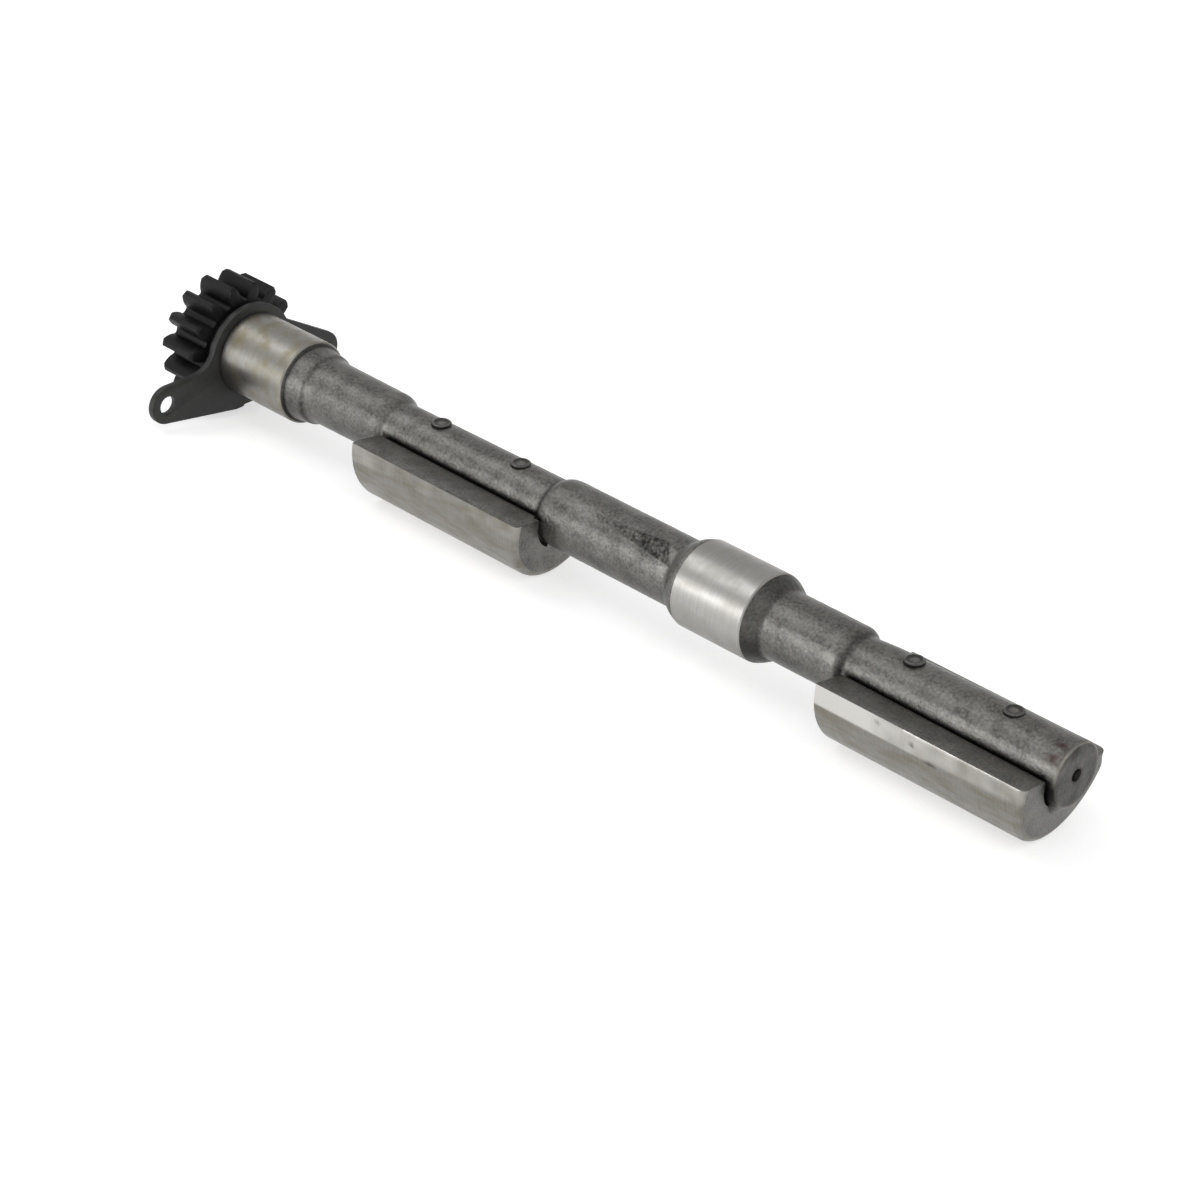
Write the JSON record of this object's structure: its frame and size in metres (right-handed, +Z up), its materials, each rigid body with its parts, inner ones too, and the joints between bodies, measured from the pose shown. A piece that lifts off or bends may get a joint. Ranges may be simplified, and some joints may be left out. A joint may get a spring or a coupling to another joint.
{
  "type": "balance shaft",
  "caption": "Long cast balance shaft with half-round counterweights and ground journals, a spur gear pressed on one end and a loose eared thrust plate trapped behind the gear.",
  "frame": {"origin": "on the shaft's axis, halfway along the front journal", "axes": "+X along the shaft from the gear towards the plain end, +Z up as the shaft lies on the round sides of its weights, +Y sideways away from the viewer"},
  "size_m": [0.4877, 0.1077, 0.0609],
  "materials": {
    "cast_shaft": "rough as-cast stems, turned weights, ground bright journals",
    "black_gear": "black phosphated and oiled",
    "black_plate": "black phosphated sheet",
    "key_steel": "plain drawn steel"
  },
  "bodies": {
    "shaft_and_gear": {"shaft": "cast_shaft", "drive_gear": "black_gear", "woodruff_key": "key_steel"},
    "thrust_plate": {"thrust_plate": "black_plate"}
  },
  "joints": [
    {"name": "plate_turn", "type": "hinge", "parent": "shaft_and_gear", "child": "thrust_plate", "pos_m": [-0.0216, 0, 0], "axis": [1, 0, 0], "continuous": true}
  ]
}
